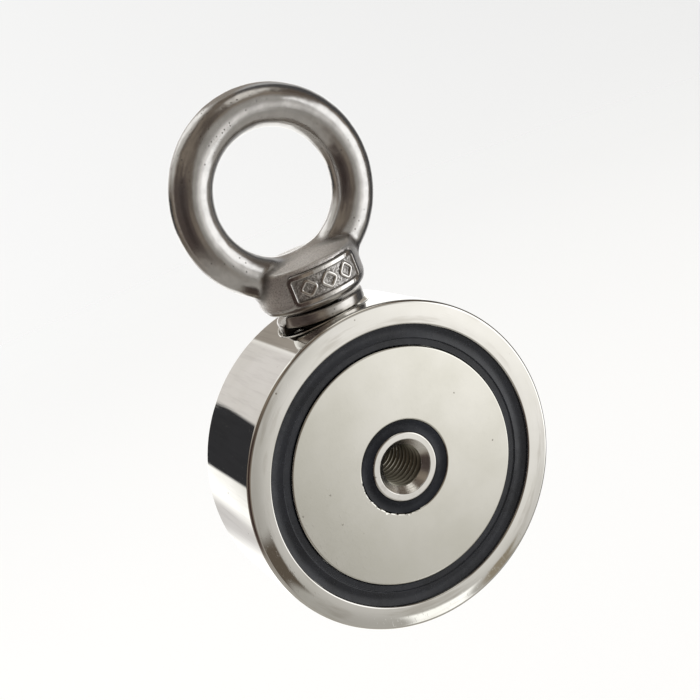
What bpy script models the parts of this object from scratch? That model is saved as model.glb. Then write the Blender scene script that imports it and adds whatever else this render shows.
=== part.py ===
"""Double-sided magnet fishing magnet with a screw-in eyebolt.

Metres, +Z up, as it hangs from its eye. The origin is the centre of the eye. The pot's axis
lies along Y, with its front face towards -Y. Two recessed ring magnets sit in a turned steel
pot whose hub has an M10 hole right through it. The eyebolt screws into the pot's wall over a
split spring washer.
"""
import math

import bmesh
import bpy

# Eyebolt, M10 with a cast ring
EYE_BORE = 0.0250
EYE_WIRE = 0.0085
EYE_TO_COLLAR = EYE_BORE / 2.0 + EYE_WIRE + 0.0015
COLLAR_HEIGHT = 0.0089
COLLAR_RADIUS = 0.0110
COLLAR_TOP_RADIUS = COLLAR_RADIUS - 0.0012
COLLAR_EDGE = 0.0014
COLLAR_STRAIGHT = 0.0055
COLLAR_CROWN = 0.0009
PANEL_HEIGHT = 0.0061
PANEL_FOOT = 0.0017
PANEL_HALF_ANGLE = 0.73
PANEL_RAISE = 0.0003
PANEL_BORDER = 0.0008
SHANK_LENGTH = 0.0200
SHANK_POINT = 0.0010

# M10 x 1.5 thread, cut with a little play so that it turns freely
THREAD_PITCH = 0.0015
THREAD_MAJOR = 0.00495
THREAD_MINOR = THREAD_MAJOR - 0.58 * THREAD_PITCH
THREAD_PLAY = 0.00015
THREAD_STEPS = 24
HUB_THREAD_STEPS = 16

# Split spring washer, loose on the shank
WASHER_BORE_RADIUS = THREAD_MAJOR + 0.0003
WASHER_WIDTH = 0.00395
WASHER_RADIUS = WASHER_BORE_RADIUS + WASHER_WIDTH
WASHER_THICKNESS = 0.0024
WASHER_RISE = 0.0017
WASHER_SPLIT_ANGLE = math.radians(193.0)
WASHER_SPLIT = math.radians(9.0)
WASHER_EDGE = 0.0003

# Steel pot. The hub wall and the web are set outwards from the M10 holes they carry
POT_RADIUS = 0.0335
POT_THICKNESS = 0.0250
RIM_WIDTH = 0.0048
RIM_CHAMFER = 0.0006
HUB_WALL = 0.00215
HUB_RADIUS = THREAD_MAJOR + HUB_WALL
HUB_SINK = 0.0006
HUB_CHAMFER = 0.0003
HUB_MOUTH_RADIUS = THREAD_MAJOR + 0.00065
WEB_COVER = 0.00115
SIDE_HOLE_SPARE = 0.0015

# Flat seat in the curved wall, just deep enough to be a full circle round the washer
SEAT_RADIUS = WASHER_RADIUS + 0.0003
SEAT_MARGIN = 0.000225
SEAT_DEPTH = POT_RADIUS - math.sqrt(POT_RADIUS ** 2 - SEAT_RADIUS ** 2) + SEAT_MARGIN

GAP = 0.0002
HALF_POT = POT_THICKNESS / 2.0
FLOOR = THREAD_MAJOR + WEB_COVER

# Magnets, potting rings and glue, which fill the pocket between hub and rim
OUTER_POTTING = 0.0044
INNER_POTTING = 0.0025
MAGNET_RADIUS = POT_RADIUS - RIM_WIDTH - OUTER_POTTING
MAGNET_BORE_RADIUS = HUB_RADIUS + INNER_POTTING
MAGNET_SINK = 0.0006
GLUE_THICKNESS = 0.0004
MAGNET_THICKNESS = HALF_POT - FLOOR - MAGNET_SINK - GLUE_THICKNESS - 2.0 * GAP
MAGNET_EDGE = 0.0003
POTTING_SINK = 0.0009
POTTING_LEDGE = 0.0003
POTTING_STEP = 0.0014

TURN_STEPS = 72
RING_STEPS = 64
MERGE = 0.00001

SEAT_HEIGHT = POT_RADIUS - SEAT_DEPTH
STACK = WASHER_THICKNESS + WASHER_RISE + 2.0 * GAP
POT_DROP = EYE_TO_COLLAR + STACK + SEAT_HEIGHT
SEAT_Z = SEAT_HEIGHT - POT_DROP
COLLAR_BASE_Z = -EYE_TO_COLLAR
SHANK_TIP_Z = COLLAR_BASE_Z - SHANK_LENGTH


def clear_scene():
    for old in list(bpy.data.objects):
        bpy.data.objects.remove(old, do_unlink=True)


def new_collection(name):
    collection = bpy.data.collections.new(name)
    bpy.context.scene.collection.children.link(collection)
    return collection


def make_material(name, colour, metallic, roughness):
    material = bpy.data.materials.new(name)
    material.use_nodes = True
    shader = material.node_tree.nodes["Principled BSDF"]
    shader.inputs["Base Color"].default_value = (*colour, 1.0)
    shader.inputs["Metallic"].default_value = metallic
    shader.inputs["Roughness"].default_value = roughness
    return material


def add_object(name, mesh, collection, material=None):
    obj = bpy.data.objects.new(name, mesh)
    collection.objects.link(obj)
    if material is not None:
        mesh.materials.append(material)
    return obj


def as_cutter(obj):
    obj.hide_render = True
    obj.display_type = "WIRE"
    return obj


def outline_mesh(name, points, closed):
    """Edges through (radius, height) points in the XZ half plane at +X."""
    mesh = bpy.data.meshes.new(name)
    last = len(points)
    edges = [(i, i + 1) for i in range(last - 1)]
    if closed:
        edges.append((last - 1, 0))
    mesh.from_pydata([(r, 0.0, z) for r, z in points], edges, [])
    return mesh


def add_screw(obj, steps, angle=2.0 * math.pi, rise=0.0, turns=1):
    screw = obj.modifiers.new("Turn", "SCREW")
    screw.axis = "Z"
    screw.angle = angle
    screw.screw_offset = rise
    screw.iterations = turns
    screw.steps = steps
    screw.render_steps = steps
    screw.use_merge_vertices = True
    screw.merge_threshold = MERGE
    screw.use_smooth_shade = True
    return screw


def turned(name, points, steps, collection, material=None):
    """A turned solid: a closed loop for a ring, or a line from axis to axis for a disc."""
    on_axis = points[0][0] == 0.0 and points[-1][0] == 0.0
    obj = add_object(name, outline_mesh(name, points, not on_axis), collection, material)
    add_screw(obj, steps)
    return obj


def applied(obj, collection):
    """The same object as a plain mesh, with its modifiers applied and its seams merged."""
    graph = bpy.context.evaluated_depsgraph_get()
    mesh = bpy.data.meshes.new_from_object(obj.evaluated_get(graph))
    shape = bmesh.new()
    shape.from_mesh(mesh)
    bmesh.ops.remove_doubles(shape, verts=shape.verts, dist=MERGE)
    shape.to_mesh(mesh)
    shape.free()
    name = obj.name
    place = obj.matrix_world.copy()
    bpy.data.objects.remove(obj, do_unlink=True)
    plain = bpy.data.objects.new(name, mesh)
    plain.matrix_world = place
    collection.objects.link(plain)
    return plain


def close_ends(mesh, low=None, high=None):
    """Trim a tube square at two heights, if given, and close its open ends."""
    shape = bmesh.new()
    shape.from_mesh(mesh)
    bmesh.ops.remove_doubles(shape, verts=shape.verts, dist=MERGE)
    for height, normal in ((low, -1.0), (high, 1.0)):
        if height is None:
            continue
        bmesh.ops.bisect_plane(
            shape,
            geom=shape.verts[:] + shape.edges[:] + shape.faces[:],
            plane_co=(0.0, 0.0, height),
            plane_no=(0.0, 0.0, normal),
            clear_outer=True,
        )
    open_edges = [edge for edge in shape.edges if edge.is_boundary]
    bmesh.ops.holes_fill(shape, edges=open_edges, sides=0)
    bmesh.ops.recalc_face_normals(shape, faces=shape.faces)
    shape.to_mesh(mesh)
    shape.free()


def tooth_points(major, minor, ease):
    """One pitch of thread, from the middle of one root to the middle of the next."""
    crest = THREAD_PITCH / 16.0 + ease
    root = THREAD_PITCH / 8.0 - ease
    return [
        (minor, 0.0),
        (minor, root),
        (major, THREAD_PITCH / 2.0 - crest),
        (major, THREAD_PITCH / 2.0 + crest),
        (minor, THREAD_PITCH - root),
        (minor, THREAD_PITCH),
    ]


def threaded_rod(name, low, high, play, steps, collection):
    """A right-hand threaded rod on Z. Play makes it the cutter of a hole that it turns in."""
    base = math.floor(low / THREAD_PITCH) - 2
    turns = math.ceil(high / THREAD_PITCH) + 2 - base
    points = tooth_points(THREAD_MAJOR + play, THREAD_MINOR + play, play / 3.0)
    shifted = [(r, z + base * THREAD_PITCH) for r, z in reversed(points)]
    rod = add_object(name, outline_mesh(name, shifted, False), collection)
    add_screw(rod, steps, rise=THREAD_PITCH, turns=turns)
    rod = applied(rod, collection)
    close_ends(rod.data, low, high)
    return rod


def point_end(mesh, tip, length):
    """A lead-in chamfer on the lower end of a rod."""
    tip_radius = THREAD_MINOR - length / 4.0
    for vertex in mesh.vertices:
        limit = tip_radius + (vertex.co.z - tip)
        radius = math.hypot(vertex.co.x, vertex.co.y)
        if radius > limit:
            vertex.co.x *= limit / radius
            vertex.co.y *= limit / radius


def add_boolean(obj, other, operation):
    modifier = obj.modifiers.new(other.name, "BOOLEAN")
    modifier.operation = operation
    modifier.solver = "EXACT"
    modifier.object = other
    return modifier


def arc_points(centre_r, centre_z, radius, start, end, count):
    span = [start + (end - start) * i / (count - 1) for i in range(count)]
    return [(centre_r + radius * math.cos(a), centre_z + radius * math.sin(a)) for a in span]


def collar_points():
    """The collar's outline from the crown, down its side, to the middle of its base."""
    base = COLLAR_BASE_Z
    top = base + COLLAR_HEIGHT
    half = math.pi / 2.0
    corner_r = COLLAR_RADIUS - COLLAR_EDGE
    foot = arc_points(corner_r, base + COLLAR_EDGE, COLLAR_EDGE, 0.0, -half, 4)
    side = [
        (0.0, top + COLLAR_CROWN),
        (COLLAR_TOP_RADIUS * 0.5, top + COLLAR_CROWN * 0.8),
        (COLLAR_TOP_RADIUS - COLLAR_EDGE / 2.0, top),
        (COLLAR_TOP_RADIUS, top - COLLAR_EDGE / 2.0),
        (COLLAR_RADIUS, base + COLLAR_STRAIGHT),
    ]
    return side + foot + [(0.0, base)]


def panel_block(name, low, high, inner, outer, half_angle, facing, collection):
    """A block bent round the collar, between two radii and two heights."""
    loop = [(outer, high), (outer, low), (inner, low), (inner, high)]
    block = add_object(name, outline_mesh(name, loop, True), collection)
    add_screw(block, 10, angle=2.0 * half_angle)
    block.rotation_euler.z = facing - half_angle
    block = applied(block, collection)
    close_ends(block.data)
    return block


def make_eyebolt(parts, cutters):
    """Ring, collar with a bordered panel on each side, and threaded shank, as one casting."""
    material = make_material("cast_stainless", (0.58, 0.56, 0.53), 1.0, 0.32)
    bpy.ops.mesh.primitive_torus_add(
        major_radius=(EYE_BORE + EYE_WIRE) / 2.0,
        minor_radius=EYE_WIRE / 2.0,
        major_segments=48,
        minor_segments=12,
        rotation=(math.pi / 2.0, 0.0, 0.0),
    )
    eyebolt = bpy.context.active_object
    eyebolt.name = "eyebolt"
    for owner in list(eyebolt.users_collection):
        owner.objects.unlink(eyebolt)
    parts.objects.link(eyebolt)
    eyebolt.data.materials.append(material)

    collar = as_cutter(turned("collar_blank", collar_points(), 36, cutters))
    add_boolean(eyebolt, collar, "UNION")

    shank_top = COLLAR_BASE_Z + COLLAR_EDGE
    shank = threaded_rod("shank_blank", SHANK_TIP_Z, shank_top, 0.0, THREAD_STEPS, cutters)
    point_end(shank.data, SHANK_TIP_Z, SHANK_POINT)
    add_boolean(eyebolt, as_cutter(shank), "UNION")

    low = COLLAR_BASE_Z + PANEL_FOOT
    high = low + PANEL_HEIGHT
    proud = COLLAR_RADIUS + PANEL_RAISE
    deep = COLLAR_TOP_RADIUS - PANEL_RAISE
    border_angle = PANEL_BORDER / COLLAR_RADIUS
    for side, facing in (("front", -math.pi / 2.0), ("back", math.pi / 2.0)):
        frame = panel_block(
            f"panel_{side}", low, high, deep, proud, PANEL_HALF_ANGLE, facing, cutters)
        field = panel_block(
            f"field_{side}", low + PANEL_BORDER, high - PANEL_BORDER, COLLAR_RADIUS,
            proud + PANEL_RAISE, PANEL_HALF_ANGLE - border_angle, facing, cutters)
        add_boolean(eyebolt, as_cutter(frame), "UNION")
        add_boolean(eyebolt, as_cutter(field), "DIFFERENCE")
    return eyebolt


def make_spring_washer(parts):
    """A rectangular section with broken edges, wound one left-hand turn and cut at the split."""
    material = make_material("spring_steel", (0.50, 0.48, 0.45), 1.0, 0.30)
    inner, outer, edge = WASHER_BORE_RADIUS, WASHER_RADIUS, WASHER_EDGE
    low = SEAT_Z + GAP + WASHER_RISE
    high = low + WASHER_THICKNESS
    loop = [
        (outer - edge, high),
        (outer, high - edge),
        (outer, low + edge),
        (outer - edge, low),
        (inner, low),
        (inner, high),
    ]
    washer = add_object("spring_washer", outline_mesh("spring_washer", loop, True), parts)
    add_screw(washer, 44, angle=2.0 * math.pi - WASHER_SPLIT, rise=-WASHER_RISE)
    washer = applied(washer, parts)
    close_ends(washer.data)
    washer.data.materials.append(material)
    washer.rotation_euler.z = WASHER_SPLIT_ANGLE + WASHER_SPLIT / 2.0
    return washer


def pot_points():
    """The pot's outline about its own axis, front face up, before its holes are cut."""
    front = [
        (HUB_RADIUS - HUB_CHAMFER, HALF_POT - HUB_SINK),
        (HUB_RADIUS, HALF_POT - HUB_SINK - HUB_CHAMFER),
        (HUB_RADIUS, FLOOR),
        (POT_RADIUS - RIM_WIDTH, FLOOR),
        (POT_RADIUS - RIM_WIDTH, HALF_POT),
        (POT_RADIUS - RIM_CHAMFER, HALF_POT),
        (POT_RADIUS, HALF_POT - RIM_CHAMFER),
    ]
    back = [(r, -z) for r, z in reversed(front)]
    return [(0.0, HALF_POT - HUB_SINK)] + front + back + [(0.0, HUB_SINK - HALF_POT)]


def mouth_cutter(name, side, centre, collection):
    """A cone that opens one end of the hub's thread."""
    reach = HUB_MOUTH_RADIUS - THREAD_MINOR
    spare = 2.0 * HUB_SINK
    points = [
        (0.0, spare),
        (HUB_MOUTH_RADIUS + spare, spare),
        (THREAD_MINOR, -reach),
        (0.0, -reach),
    ]
    cone = turned(name, points, HUB_THREAD_STEPS * 2, collection)
    cone.parent = centre
    cone.location.z = side * (HALF_POT - HUB_SINK)
    if side < 0:
        cone.rotation_euler.x = math.pi
    return as_cutter(cone)


def make_pot(parts, cutters, centre):
    """Outer wall, web and hub turned from one bar, with a spot-faced M10 hole in the wall."""
    material = make_material("nickel_plated_steel", (0.80, 0.78, 0.74), 1.0, 0.10)
    pot = turned("steel_pot", pot_points(), TURN_STEPS, parts, material)
    pot.parent = centre

    reach = HALF_POT + HUB_SINK
    hub_hole = threaded_rod(
        "hub_hole_cutter", -reach, reach, THREAD_PLAY, HUB_THREAD_STEPS, cutters)
    hub_hole.parent = centre
    add_boolean(pot, as_cutter(hub_hole), "DIFFERENCE")
    for name, side in (("front_mouth_cutter", 1.0), ("back_mouth_cutter", -1.0)):
        add_boolean(pot, mouth_cutter(name, side, centre, cutters), "DIFFERENCE")

    seat_points = [
        (0.0, SEAT_Z + 4.0 * SEAT_DEPTH),
        (SEAT_RADIUS, SEAT_Z + 4.0 * SEAT_DEPTH),
        (SEAT_RADIUS, SEAT_Z),
        (0.0, SEAT_Z),
    ]
    seat = as_cutter(turned("seat_cutter", seat_points, 40, cutters))
    add_boolean(pot, seat, "DIFFERENCE")

    bottom = SHANK_TIP_Z - SIDE_HOLE_SPARE
    side_hole = threaded_rod(
        "side_hole_cutter", bottom, SEAT_Z + SEAT_DEPTH, THREAD_PLAY, THREAD_STEPS, cutters)
    add_boolean(pot, as_cutter(side_hole), "DIFFERENCE")
    return pot


def ring_on_side(name, points, side, centre, parts, material):
    """A turned ring drawn for the front of the pot, turned over for the back."""
    ring = turned(name, points, RING_STEPS, parts, material)
    ring.parent = centre
    if side == "back":
        ring.rotation_euler.x = math.pi
    return ring


def magnet_points():
    top = HALF_POT - MAGNET_SINK
    bottom = top - MAGNET_THICKNESS
    edge = MAGNET_EDGE
    return [
        (MAGNET_RADIUS - edge, top),
        (MAGNET_RADIUS, top - edge),
        (MAGNET_RADIUS, bottom),
        (MAGNET_BORE_RADIUS, bottom),
        (MAGNET_BORE_RADIUS, top - edge),
        (MAGNET_BORE_RADIUS + edge, top),
    ]


def outer_potting_points():
    """The ring between magnet and rim, with a low step beside the magnet."""
    top = HALF_POT - POTTING_SINK
    inner = MAGNET_RADIUS + GAP
    outer = POT_RADIUS - RIM_WIDTH - GAP
    return [
        (inner + POTTING_STEP, top),
        (outer, top),
        (outer, FLOOR + GAP),
        (inner, FLOOR + GAP),
        (inner, top - POTTING_LEDGE),
        (inner + POTTING_STEP, top - POTTING_LEDGE),
    ]


def plain_ring_points(inner, outer, low, high):
    return [(outer, high), (outer, low), (inner, low), (inner, high)]


def make_side(side, centre, parts, looks):
    """One face of the magnet: glue, ring magnet and the two black rings round it."""
    potting_top = HALF_POT - POTTING_SINK
    glue_low = FLOOR + GAP
    rings = (
        (f"{side}_magnet", magnet_points(), "magnet"),
        (f"{side}_outer_potting_ring", outer_potting_points(), "potting"),
        (
            f"{side}_inner_potting_ring",
            plain_ring_points(
                HUB_RADIUS + GAP, MAGNET_BORE_RADIUS - GAP, FLOOR + GAP, potting_top),
            "potting",
        ),
        (
            f"{side}_magnet_glue",
            plain_ring_points(
                MAGNET_BORE_RADIUS + GAP, MAGNET_RADIUS - GAP, glue_low,
                glue_low + GLUE_THICKNESS),
            "glue",
        ),
    )
    for name, points, look in rings:
        colour, metallic, roughness = looks[look]
        material = make_material(name, colour, metallic, roughness)
        ring_on_side(name, points, side, centre, parts, material)


def shade_parts(parts):
    for obj in parts.objects:
        if obj.type == "MESH":
            obj.data.shade_smooth()
            obj.data.set_sharp_from_angle(angle=math.radians(35.0))


def build():
    clear_scene()
    parts = new_collection("magnet_fishing_magnet")
    cutters = new_collection("cutters")
    centre = bpy.data.objects.new("pot_centre", None)
    centre.location.z = -POT_DROP
    centre.rotation_euler.x = math.pi / 2.0
    parts.objects.link(centre)
    bpy.context.view_layer.update()

    make_eyebolt(parts, cutters)
    make_spring_washer(parts)
    make_pot(parts, cutters, centre)
    looks = {
        "magnet": ((0.80, 0.79, 0.76), 1.0, 0.14),
        "potting": ((0.015, 0.017, 0.022), 0.0, 0.25),
        "glue": ((0.55, 0.50, 0.38), 0.0, 0.45),
    }
    for side in ("front", "back"):
        make_side(side, centre, parts, looks)
    shade_parts(parts)


build()
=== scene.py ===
"""Looks of a double-sided magnet fishing magnet with a screw-in eyebolt.

Metres, +Z up, hanging from its eye. The eye's centre is the origin, the pot lies along Y and
its front face looks towards -Y.
"""
import math

import bmesh
import bpy
import numpy as np
from mathutils import Matrix, Vector, noise


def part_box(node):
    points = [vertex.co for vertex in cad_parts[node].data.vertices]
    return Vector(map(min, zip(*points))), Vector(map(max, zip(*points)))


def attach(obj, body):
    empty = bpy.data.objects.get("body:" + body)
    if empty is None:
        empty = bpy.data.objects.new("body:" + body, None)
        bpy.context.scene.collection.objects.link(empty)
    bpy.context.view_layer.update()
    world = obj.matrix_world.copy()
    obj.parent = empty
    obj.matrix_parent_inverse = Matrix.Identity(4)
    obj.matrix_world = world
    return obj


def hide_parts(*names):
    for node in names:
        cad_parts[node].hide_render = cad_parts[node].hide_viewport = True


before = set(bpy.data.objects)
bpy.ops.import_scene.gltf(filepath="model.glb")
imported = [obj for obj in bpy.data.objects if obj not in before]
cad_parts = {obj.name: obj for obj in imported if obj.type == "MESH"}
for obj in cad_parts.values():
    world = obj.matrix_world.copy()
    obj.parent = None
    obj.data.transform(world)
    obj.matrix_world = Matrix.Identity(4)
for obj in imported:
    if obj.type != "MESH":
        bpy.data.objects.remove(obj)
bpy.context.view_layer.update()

# Eyebolt
EYE_RING = 0.01675
EYE_WIRE = 0.00425
COLLAR_BASE = -0.0225
COLLAR_TOP = -0.0136
COLLAR_RADIUS = 0.0110
COLLAR_TOP_RADIUS = 0.0098
COLLAR_CROWN = 0.0009
PANEL_LOW = -0.0208
PANEL_HIGH = -0.0147
PANEL_MIDDLE = (PANEL_LOW + PANEL_HIGH) / 2.0
PANEL_HALF_HEIGHT = (PANEL_HIGH - PANEL_LOW) / 2.0
PANEL_HALF_WIDTH = 0.73 * COLLAR_RADIUS
PANEL_ROUND = 0.0013
PANEL_MARGIN = 0.0004
PANEL_PROUD = 0.01130
PANEL_GROUND = 0.01086
PANEL_BACK = 0.0092
SHANK_TIP = -0.0425
SKIN_VOXEL = 0.00032

# M10 x 1.5 thread
THREAD_PITCH = 0.0015
THREAD_MAJOR = 0.00495
THREAD_MINOR = 0.00408
THREAD_PLAY = 0.00015
HOLE_RADIUS = THREAD_MAJOR + THREAD_PLAY
HOLE_SPARE = 0.0015

# Split washer
WASHER_BORE = 0.00525
WASHER_RADIUS = 0.0092
WASHER_THICKNESS = 0.0024
WASHER_RISE = 0.0017
WASHER_SPLIT_ANGLE = math.radians(193.0)
WASHER_SPLIT = math.radians(9.0)
WASHER_EDGE = 0.0005
WASHER_LEAN = 0.30

# Pot, with its rims, hub and seat
SEAT_HEIGHT = 0.0319
SEAT_RADIUS = 0.0095
POT_RADIUS = 0.0335
HALF_POT = 0.0125
RIM_INNER = 0.0287
RIM_ROUND = 0.0007
RIM_CROWN = 0.000035
RIM_EDGE = 0.0003
POT_FLOOR = 0.0061
HUB_RADIUS = 0.0071
HUB_TOP = 0.0119
HUB_EDGE = 0.0003
HUB_MOUTH = 0.0056
MOUTH_EDGE = 0.00016

# Magnets and resin
MAGNET_RADIUS = 0.0243
MAGNET_BORE = 0.0096
MAGNET_TOP = 0.0119
MAGNET_BASE = 0.0069
MAGNET_EDGE = 0.00028
CHIP_ANGLE = math.radians(216.0)
CHIP_REACH = 0.0011
POTTING_TOP = 0.0116
POTTING_BASE = 0.0063
LEDGE_WIDTH = 0.0014
GAP = 0.0002

# Short run kept beside a rounded corner, so that the flats next to it shade flat
NEAR = 0.00006

FLOOR_Z = -0.30
TENT_RADIUS = 3.0

pot_low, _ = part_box("steel_pot")
POT_Z = pot_low[2] + POT_RADIUS
SEAT_Z = POT_Z + SEAT_HEIGHT


# ---------------------------------------------------------------- mesh helpers

def link(obj):
    bpy.context.scene.collection.objects.link(obj)
    return obj


def mesh_object(name, verts, faces):
    mesh = bpy.data.meshes.new(name)
    mesh.from_pydata([tuple(v) for v in verts], [], faces)
    mesh.validate()
    mesh.shade_smooth()
    return link(bpy.data.objects.new(name, mesh))


def read_array(items, name, width=3, kind=float):
    flat = np.zeros(len(items) * width, kind)
    items.foreach_get(name, flat)
    return flat.reshape(-1, width) if width > 1 else flat


def vertex_array(mesh):
    return read_array(mesh.vertices, "co")


def set_vertices(mesh, points):
    mesh.vertices.foreach_set("co", np.asarray(points, float).ravel())
    mesh.update()


def add_values(mesh, **layers):
    """Values on each vertex, which a material reads by name."""
    for name, values in layers.items():
        layer = mesh.attributes.new(name, "FLOAT", "POINT")
        layer.data.foreach_set("value", np.asarray(values, np.float32))


def plain_mesh(obj):
    """Replace an object's mesh by its evaluated mesh, without modifiers."""
    graph = bpy.context.evaluated_depsgraph_get()
    mesh = bpy.data.meshes.new_from_object(obj.evaluated_get(graph))
    obj.modifiers.clear()
    obj.data = mesh
    return mesh


def paint(mesh, material):
    mesh.materials.clear()
    mesh.materials.append(material)


def merge_and_face_out(mesh, distance=1e-6):
    shape = bmesh.new()
    shape.from_mesh(mesh)
    bmesh.ops.remove_doubles(shape, verts=shape.verts, dist=distance)
    bmesh.ops.recalc_face_normals(shape, faces=shape.faces)
    shape.to_mesh(mesh)
    shape.free()


def lathe(levels, steps, closed=False):
    """Vertices and faces of (radius, height) levels turned about Z."""
    turn = [2.0 * math.pi * i / steps for i in range(steps)]
    verts = [(r * math.cos(a), r * math.sin(a), z) for r, z in levels for a in turn]
    faces = []
    for k in range(len(levels) - (not closed)):
        low, high = k * steps, (k + 1) % len(levels) * steps
        for i in range(steps):
            j = (i + 1) % steps
            faces.append((low + i, high + i, high + j, low + j))
    return verts, faces


def lay_along_pot(mesh, side=1):
    """Turn a part drawn on Z onto the pot's axis, with its top at the front or the back."""
    p = vertex_array(mesh)
    set_vertices(mesh, np.stack([p[:, 0], -p[:, 2] * side, POT_Z + p[:, 1] * side], 1))


def loop_mesh(name, points):
    """A closed loop of edges, which a tree sweeps along a path."""
    mesh = bpy.data.meshes.new(name)
    count = len(points)
    edges = [(i, (i + 1) % count) for i in range(count)]
    mesh.from_pydata([(x, y, 0.0) for x, y in points], edges, [])
    return mesh


def radius_in(p, centre=0.0, axis=1):
    return np.hypot(p[:, 0], p[:, axis] - centre)


def ease(low, high, x):
    """A smooth rise from 0 at low to 1 at high."""
    t = np.clip((x - low) / (high - low), 0.0, 1.0)
    return t * t * (3.0 - 2.0 * t)


def aim_camera():
    position = Vector((-0.07451, -0.21068, 0.03213))
    forward = Vector((0.32894, 0.89892, -0.28936)).normalized()
    roll = math.radians(21.676)
    level_up = (Vector((0.0, 0.0, 1.0)) - forward * forward.z).normalized()
    level_right = forward.cross(level_up)
    up = math.cos(roll) * level_up + math.sin(roll) * level_right
    right = forward.cross(up)
    data = bpy.data.cameras.new("camera")
    data.lens = 59.22
    data.sensor_width = 36.0
    data.clip_start = 0.01
    data.clip_end = 50.0
    camera = link(bpy.data.objects.new("camera", data))
    turn = Matrix((right, up, -forward)).transposed()
    camera.matrix_world = Matrix.Translation(position) @ turn.to_4x4()
    bpy.context.scene.camera = camera


aim_camera()


# ---------------------------------------------------------------- node helpers

class Flow:
    """A node's output, which can be used in sums."""

    def __init__(self, socket):
        self.socket = socket
        self.tree = socket.id_data

    def __add__(self, other):
        return calc("ADD", self, other)

    __radd__ = __add__

    def __sub__(self, other):
        return calc("SUBTRACT", self, other)

    def __rsub__(self, other):
        return calc("SUBTRACT", other, self)

    def __mul__(self, other):
        return calc("MULTIPLY", self, other)

    __rmul__ = __mul__

    def __truediv__(self, other):
        return calc("DIVIDE", self, other)


def feed(socket, value):
    """Link a socket to a node's output, or set its constant."""
    if isinstance(value, Flow):
        value.tree.links.new(value.socket, socket)
    else:
        socket.default_value = value


def new_node(tree, kind, inputs=(), **settings):
    """A node with its settings, and with its inputs linked or set."""
    node = tree.nodes.new(kind)
    for key, value in settings.items():
        setattr(node, key, value)
    for label, value in dict(inputs).items():
        feed(node.inputs[label], value)
    return node


def made(tree, kind, inputs=(), output=0, **settings):
    return Flow(new_node(tree, kind, inputs, **settings).outputs[output])


def flows(node):
    return {out.name: Flow(out) for out in node.outputs}


def tree_of(*values):
    return next(value.tree for value in values if isinstance(value, Flow))


def calc(operation, *values, clamp=False):
    return made(
        tree_of(*values), "ShaderNodeMath", enumerate(values), operation=operation,
        use_clamp=clamp)


def joined(tree, x=0.0, y=0.0, z=0.0):
    return made(tree, "ShaderNodeCombineXYZ", {0: x, 1: y, 2: z})


def parted(vector):
    return flows(new_node(vector.tree, "ShaderNodeSeparateXYZ", {0: vector})).values()


def length_of(vector):
    return made(vector.tree, "ShaderNodeVectorMath", {0: vector}, "Value", operation="LENGTH")


def round_z(angle, radius, height):
    return joined(angle.tree, calc("COSINE", angle) * radius, calc("SINE", angle) * radius, height)


def noise_value(vector, scale, detail=2.0, rough=0.5):
    return made(vector.tree, "ShaderNodeTexNoise", {
        "Vector": vector, "Scale": scale, "Detail": detail, "Roughness": rough})


def ramp(value, low, high, out_low=0.0, out_high=1.0):
    return made(value.tree, "ShaderNodeMapRange", {
        "Value": value, "From Min": low, "From Max": high, "To Min": out_low, "To Max": out_high,
    }, interpolation_type="SMOOTHSTEP")


def blend(share, first, second):
    """Mix two colours."""
    ends = [end if isinstance(end, Flow) else (*end, 1.0) for end in (first, second)]
    return made(
        tree_of(share, first, second), "ShaderNodeMix", {0: share, 6: ends[0], 7: ends[1]}, 2,
        data_type="RGBA")


# Geometry Nodes

def geometry_tree(name, floats, ints=(), takes_geometry=False):
    """A tree with named inputs, Material last. Returns the tree and its inputs."""
    tree = bpy.data.node_groups.new(name, "GeometryNodeTree")
    inputs = [("Geometry", "Geometry")] * takes_geometry
    inputs += [(label, "Float") for label in floats] + [(label, "Int") for label in ints]
    for label, kind in inputs + [("Material", "Material")]:
        tree.interface.new_socket(label, in_out="INPUT", socket_type=f"NodeSocket{kind}")
    tree.interface.new_socket("Geometry", in_out="OUTPUT", socket_type="NodeSocketGeometry")
    return tree, flows(tree.nodes.new("NodeGroupInput"))


def finish_tree(tree, geometry, material):
    """Realize Instances, smooth shading and Set Material end every tree."""
    real = made(tree, "GeometryNodeRealizeInstances", {0: geometry})
    smooth = made(tree, "GeometryNodeSetShadeSmooth", {"Geometry": real})
    painted = made(tree, "GeometryNodeSetMaterial", {"Geometry": smooth, "Material": material})
    new_node(tree, "NodeGroupOutput", {0: painted})
    return tree


def grown(name, tree, values, mesh=None):
    """Run a tree on a new object and keep the result as a plain mesh."""
    obj = link(bpy.data.objects.new(name, mesh or bpy.data.meshes.new(name)))
    modifier = obj.modifiers.new(tree.name, "NODES")
    modifier.node_group = tree
    sockets = {
        item.name: item.identifier
        for item in tree.interface.items_tree
        if item.item_type == "SOCKET" and item.in_out == "INPUT"
    }
    for label, value in values.items():
        modifier[sockets[label]] = value
    plain_mesh(obj)
    obj.data.name = name
    return obj


def circle_curve(radius, steps):
    return made(radius.tree, "GeometryNodeCurvePrimitiveCircle", {
        "Radius": radius, "Resolution": steps}, mode="RADIUS")


def edges_to_curve(mesh):
    return made(mesh.tree, "GeometryNodeMeshToCurve", {"Mesh": mesh})


def upright(curve):
    return made(curve.tree, "GeometryNodeSetCurveNormal", {"Curve": curve}, mode="Z_UP")


def moved(geometry, position):
    return made(geometry.tree, "GeometryNodeSetPosition", {
        "Geometry": geometry, "Position": position})


def wound_curve(count, angle, radius, height):
    """A curve wound round Z, with its normals kept level."""
    line = made(count.tree, "GeometryNodeMeshLine", {"Count": count})
    return upright(edges_to_curve(moved(line, round_z(angle, radius, height))))


def swept(path, section, **extra):
    inputs = {label.replace("_", " "): value for label, value in extra.items()}
    return made(path.tree, "GeometryNodeCurveToMesh", {
        "Curve": path, "Profile Curve": section, **inputs})


# ---------------------------------------------------------------- shader groups

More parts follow.
